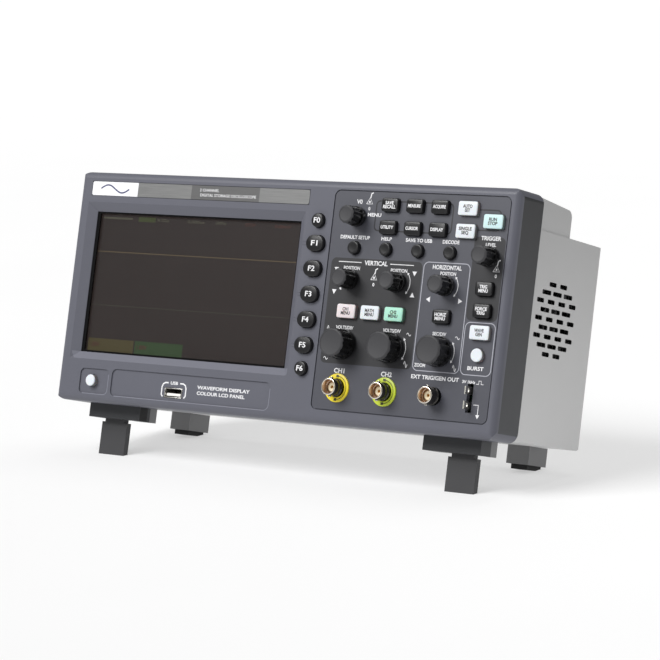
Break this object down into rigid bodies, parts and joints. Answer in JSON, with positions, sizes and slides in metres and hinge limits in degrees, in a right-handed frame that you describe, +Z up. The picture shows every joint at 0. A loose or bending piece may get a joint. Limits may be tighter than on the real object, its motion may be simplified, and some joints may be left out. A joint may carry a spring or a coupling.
{
  "type": "oscilloscope",
  "caption": "Bench oscilloscope standing on flip legs, with a wide screen, soft keys, turning and pressing knobs, coaxial jacks and a cooling fan.",
  "frame": {"origin": "centre of the bounding box, on the floor, with the legs out and the case leaning back", "axes": "+X to the right of a user facing the screen, +Y to the back, +Z up; the case leans back 14 degrees about X"},
  "size_m": [0.318, 0.1302, 0.1706],
  "materials": {
    "bezel_plastic": "fine moulded grain",
    "housing_plastic": "fine moulded grain",
    "nameplate_foil": "satin silver",
    "sheet_plastic": "printed matte film",
    "window_plastic": "clear dark window",
    "screen": "unlit display",
    "circuit_board": "solder mask",
    "supply_board": "board laminate",
    "fan_plastic": "moulded",
    "nickel": "nickel plate",
    "ring_plastic": "bright moulded",
    "socket_steel": "tin plate",
    "pad_rubber": "matte",
    "screw_steel": "zinc plate",
    "leg_plastic": "fine moulded grain",
    "dark_cap": "moulded",
    "lit_cap": "translucent white",
    "red_lit_cap": "translucent, faint red",
    "green_lit_cap": "translucent, green",
    "cyan_lit_cap": "translucent, faint cyan",
    "knob_rubber": "soft touch",
    "shaft_steel": "turned"
  },
  "bodies": {
    "case": {"front_bezel": "bezel_plastic", "rear_housing": "housing_plastic", "nameplate": "nameplate_foil", "control_sheet": "sheet_plastic", "display_window": "window_plastic", "lcd_module": "screen", "front_board": "circuit_board", "main_board": "circuit_board", "power_supply": "supply_board", "fan_frame": "fan_plastic", "bnc_connectors": "nickel", "bnc_rings": "ring_plastic", "usb_host_socket": "socket_steel", "foot_pads": "pad_rubber", "case_screws": "screw_steel"},
    "button_f0": {"button_f0": "dark_cap"},
    "button_f1": {"button_f1": "dark_cap"},
    "button_f2": {"button_f2": "dark_cap"},
    "button_f3": {"button_f3": "dark_cap"},
    "button_f4": {"button_f4": "dark_cap"},
    "button_f5": {"button_f5": "dark_cap"},
    "button_f6": {"button_f6": "dark_cap"},
    "button_power": {"button_power": "lit_cap"},
    "button_save_recall": {"button_save_recall": "dark_cap"},
    "button_measure": {"button_measure": "dark_cap"},
    "button_acquire": {"button_acquire": "dark_cap"},
    "button_utility": {"button_utility": "dark_cap"},
    "button_cursor": {"button_cursor": "dark_cap"},
    "button_display": {"button_display": "dark_cap"},
    "button_auto_set": {"button_auto_set": "lit_cap"},
    "button_single": {"button_single": "lit_cap"},
    "button_run_stop": {"button_run_stop": "cyan_lit_cap"},
    "button_default_setup": {"button_default_setup": "dark_cap"},
    "button_help": {"button_help": "dark_cap"},
    "button_save_usb": {"button_save_usb": "dark_cap"},
    "button_decode": {"button_decode": "dark_cap"},
    "button_ch1_menu": {"button_ch1_menu": "red_lit_cap"},
    "button_math_menu": {"button_math_menu": "lit_cap"},
    "button_ch2_menu": {"button_ch2_menu": "green_lit_cap"},
    "button_horiz_menu": {"button_horiz_menu": "dark_cap"},
    "button_trig_menu": {"button_trig_menu": "dark_cap"},
    "button_force_trig": {"button_force_trig": "dark_cap"},
    "button_wave_gen": {"button_wave_gen": "lit_cap"},
    "button_burst": {"button_burst": "lit_cap"},
    "shaft_menu": {"shaft_menu": "shaft_steel"},
    "knob_menu": {"knob_menu": "knob_rubber"},
    "shaft_ch1_position": {"shaft_ch1_position": "shaft_steel"},
    "knob_ch1_position": {"knob_ch1_position": "knob_rubber"},
    "shaft_ch2_position": {"shaft_ch2_position": "shaft_steel"},
    "knob_ch2_position": {"knob_ch2_position": "knob_rubber"},
    "shaft_trigger_level": {"shaft_trigger_level": "shaft_steel"},
    "knob_trigger_level": {"knob_trigger_level": "knob_rubber"},
    "shaft_time_base": {"shaft_time_base": "shaft_steel"},
    "knob_time_base": {"knob_time_base": "knob_rubber"},
    "knob_ch1_volts": {"knob_ch1_volts": "knob_rubber"},
    "knob_ch2_volts": {"knob_ch2_volts": "knob_rubber"},
    "knob_horiz_position": {"knob_horiz_position": "knob_rubber"},
    "fan_rotor": {"fan_rotor": "fan_plastic"},
    "leg_left": {"leg_left": "leg_plastic"},
    "leg_right": {"leg_right": "leg_plastic"}
  },
  "joints": [
    {"name": "button_f0_press", "type": "slide", "parent": "case", "child": "button_f0", "axis": [0, 0.9703, -0.2419], "range_m": [0, 0.0008], "stiffness_N_per_m": 300, "springref_m": -0.001},
    {"name": "button_f1_press", "type": "slide", "parent": "case", "child": "button_f1", "axis": [0, 0.9703, -0.2419], "range_m": [0, 0.0008], "stiffness_N_per_m": 300, "springref_m": -0.001},
    {"name": "button_f2_press", "type": "slide", "parent": "case", "child": "button_f2", "axis": [0, 0.9703, -0.2419], "range_m": [0, 0.0008], "stiffness_N_per_m": 300, "springref_m": -0.001},
    {"name": "button_f3_press", "type": "slide", "parent": "case", "child": "button_f3", "axis": [0, 0.9703, -0.2419], "range_m": [0, 0.0008], "stiffness_N_per_m": 300, "springref_m": -0.001},
    {"name": "button_f4_press", "type": "slide", "parent": "case", "child": "button_f4", "axis": [0, 0.9703, -0.2419], "range_m": [0, 0.0008], "stiffness_N_per_m": 300, "springref_m": -0.001},
    {"name": "button_f5_press", "type": "slide", "parent": "case", "child": "button_f5", "axis": [0, 0.9703, -0.2419], "range_m": [0, 0.0008], "stiffness_N_per_m": 300, "springref_m": -0.001},
    {"name": "button_f6_press", "type": "slide", "parent": "case", "child": "button_f6", "axis": [0, 0.9703, -0.2419], "range_m": [0, 0.0008], "stiffness_N_per_m": 300, "springref_m": -0.001},
    {"name": "button_power_press", "type": "slide", "parent": "case", "child": "button_power", "axis": [0, 0.9703, -0.2419], "range_m": [0, 0.0008], "stiffness_N_per_m": 300, "springref_m": -0.001},
    {"name": "button_save_recall_press", "type": "slide", "parent": "case", "child": "button_save_recall", "axis": [0, 0.9703, -0.2419], "range_m": [0, 0.0008], "stiffness_N_per_m": 300, "springref_m": -0.001},
    {"name": "button_measure_press", "type": "slide", "parent": "case", "child": "button_measure", "axis": [0, 0.9703, -0.2419], "range_m": [0, 0.0008], "stiffness_N_per_m": 300, "springref_m": -0.001},
    {"name": "button_acquire_press", "type": "slide", "parent": "case", "child": "button_acquire", "axis": [0, 0.9703, -0.2419], "range_m": [0, 0.0008], "stiffness_N_per_m": 300, "springref_m": -0.001},
    {"name": "button_utility_press", "type": "slide", "parent": "case", "child": "button_utility", "axis": [0, 0.9703, -0.2419], "range_m": [0, 0.0008], "stiffness_N_per_m": 300, "springref_m": -0.001},
    {"name": "button_cursor_press", "type": "slide", "parent": "case", "child": "button_cursor", "axis": [0, 0.9703, -0.2419], "range_m": [0, 0.0008], "stiffness_N_per_m": 300, "springref_m": -0.001},
    {"name": "button_display_press", "type": "slide", "parent": "case", "child": "button_display", "axis": [0, 0.9703, -0.2419], "range_m": [0, 0.0008], "stiffness_N_per_m": 300, "springref_m": -0.001},
    {"name": "button_auto_set_press", "type": "slide", "parent": "case", "child": "button_auto_set", "axis": [0, 0.9703, -0.2419], "range_m": [0, 0.0008], "stiffness_N_per_m": 300, "springref_m": -0.001},
    {"name": "button_single_press", "type": "slide", "parent": "case", "child": "button_single", "axis": [0, 0.9703, -0.2419], "range_m": [0, 0.0008], "stiffness_N_per_m": 300, "springref_m": -0.001},
    {"name": "button_run_stop_press", "type": "slide", "parent": "case", "child": "button_run_stop", "axis": [0, 0.9703, -0.2419], "range_m": [0, 0.0008], "stiffness_N_per_m": 300, "springref_m": -0.001},
    {"name": "button_default_setup_press", "type": "slide", "parent": "case", "child": "button_default_setup", "axis": [0, 0.9703, -0.2419], "range_m": [0, 0.0008], "stiffness_N_per_m": 300, "springref_m": -0.001},
    {"name": "button_help_press", "type": "slide", "parent": "case", "child": "button_help", "axis": [0, 0.9703, -0.2419], "range_m": [0, 0.0008], "stiffness_N_per_m": 300, "springref_m": -0.001},
    {"name": "button_save_usb_press", "type": "slide", "parent": "case", "child": "button_save_usb", "axis": [0, 0.9703, -0.2419], "range_m": [0, 0.0008], "stiffness_N_per_m": 300, "springref_m": -0.001},
    {"name": "button_decode_press", "type": "slide", "parent": "case", "child": "button_decode", "axis": [0, 0.9703, -0.2419], "range_m": [0, 0.0008], "stiffness_N_per_m": 300, "springref_m": -0.001},
    {"name": "button_ch1_menu_press", "type": "slide", "parent": "case", "child": "button_ch1_menu", "axis": [0, 0.9703, -0.2419], "range_m": [0, 0.0008], "stiffness_N_per_m": 300, "springref_m": -0.001},
    {"name": "button_math_menu_press", "type": "slide", "parent": "case", "child": "button_math_menu", "axis": [0, 0.9703, -0.2419], "range_m": [0, 0.0008], "stiffness_N_per_m": 300, "springref_m": -0.001},
    {"name": "button_ch2_menu_press", "type": "slide", "parent": "case", "child": "button_ch2_menu", "axis": [0, 0.9703, -0.2419], "range_m": [0, 0.0008], "stiffness_N_per_m": 300, "springref_m": -0.001},
    {"name": "button_horiz_menu_press", "type": "slide", "parent": "case", "child": "button_horiz_menu", "axis": [0, 0.9703, -0.2419], "range_m": [0, 0.0008], "stiffness_N_per_m": 300, "springref_m": -0.001},
    {"name": "button_trig_menu_press", "type": "slide", "parent": "case", "child": "button_trig_menu", "axis": [0, 0.9703, -0.2419], "range_m": [0, 0.0008], "stiffness_N_per_m": 300, "springref_m": -0.001},
    {"name": "button_force_trig_press", "type": "slide", "parent": "case", "child": "button_force_trig", "axis": [0, 0.9703, -0.2419], "range_m": [0, 0.0008], "stiffness_N_per_m": 300, "springref_m": -0.001},
    {"name": "button_wave_gen_press", "type": "slide", "parent": "case", "child": "button_wave_gen", "axis": [0, 0.9703, -0.2419], "range_m": [0, 0.0008], "stiffness_N_per_m": 300, "springref_m": -0.001},
    {"name": "button_burst_press", "type": "slide", "parent": "case", "child": "button_burst", "axis": [0, 0.9703, -0.2419], "range_m": [0, 0.0008], "stiffness_N_per_m": 300, "springref_m": -0.001},
    {"name": "shaft_menu_press", "type": "slide", "parent": "case", "child": "shaft_menu", "axis": [0, 0.9703, -0.2419], "range_m": [0, 0.0006], "stiffness_N_per_m": 500, "springref_m": -0.001},
    {"name": "knob_menu_turn", "type": "hinge", "parent": "shaft_menu", "child": "knob_menu", "pos_m": [0.051, -0.03663, 0.15305], "axis": [0, -0.9703, 0.2419], "continuous": true},
    {"name": "shaft_ch1_position_press", "type": "slide", "parent": "case", "child": "shaft_ch1_position", "axis": [0, 0.9703, -0.2419], "range_m": [0, 0.0006], "stiffness_N_per_m": 500, "springref_m": -0.001},
    {"name": "knob_ch1_position_turn", "type": "hinge", "parent": "shaft_ch1_position", "child": "knob_ch1_position", "pos_m": [0.0508, -0.04546, 0.11763], "axis": [0, -0.9703, 0.2419], "continuous": true},
    {"name": "shaft_ch2_position_press", "type": "slide", "parent": "case", "child": "shaft_ch2_position", "axis": [0, 0.9703, -0.2419], "range_m": [0, 0.0006], "stiffness_N_per_m": 500, "springref_m": -0.001},
    {"name": "knob_ch2_position_turn", "type": "hinge", "parent": "shaft_ch2_position", "child": "knob_ch2_position", "pos_m": [0.0835, -0.04546, 0.11763], "axis": [0, -0.9703, 0.2419], "continuous": true},
    {"name": "shaft_trigger_level_press", "type": "slide", "parent": "case", "child": "shaft_trigger_level", "axis": [0, 0.9703, -0.2419], "range_m": [0, 0.0006], "stiffness_N_per_m": 500, "springref_m": -0.001},
    {"name": "knob_trigger_level_turn", "type": "hinge", "parent": "shaft_trigger_level", "child": "knob_trigger_level", "pos_m": [0.1434, -0.04125, 0.13451], "axis": [0, -0.9703, 0.2419], "continuous": true},
    {"name": "shaft_time_base_press", "type": "slide", "parent": "case", "child": "shaft_time_base", "axis": [0, 0.9703, -0.2419], "range_m": [0, 0.0006], "stiffness_N_per_m": 500, "springref_m": -0.001},
    {"name": "knob_time_base_turn", "type": "hinge", "parent": "shaft_time_base", "child": "knob_time_base", "pos_m": [0.1171, -0.05451, 0.08134], "axis": [0, -0.9703, 0.2419], "continuous": true},
    {"name": "knob_ch1_volts_turn", "type": "hinge", "parent": "case", "child": "knob_ch1_volts", "pos_m": [0.051, -0.05453, 0.08124], "axis": [0, -0.9703, 0.2419], "continuous": true},
    {"name": "knob_ch2_volts_turn", "type": "hinge", "parent": "case", "child": "knob_ch2_volts", "pos_m": [0.0836, -0.05451, 0.08134], "axis": [0, -0.9703, 0.2419], "continuous": true},
    {"name": "knob_horiz_position_turn", "type": "hinge", "parent": "case", "child": "knob_horiz_position", "pos_m": [0.1166, -0.04553, 0.11734], "axis": [0, -0.9703, 0.2419], "continuous": true},
    {"name": "fan_spin", "type": "hinge", "parent": "case", "child": "fan_rotor", "pos_m": [0.15, 0.00908, 0.09249], "axis": [1, 0, 0], "continuous": true},
    {"name": "leg_left_fold", "type": "hinge", "parent": "case", "child": "leg_left", "pos_m": [-0.127, -0.03873, 0.02474], "axis": [1, 0, 0], "range_deg": [0, 88]},
    {"name": "leg_right_fold", "type": "hinge", "parent": "case", "child": "leg_right", "pos_m": [0.127, -0.03873, 0.02474], "axis": [1, 0, 0], "range_deg": [0, 88]}
  ]
}
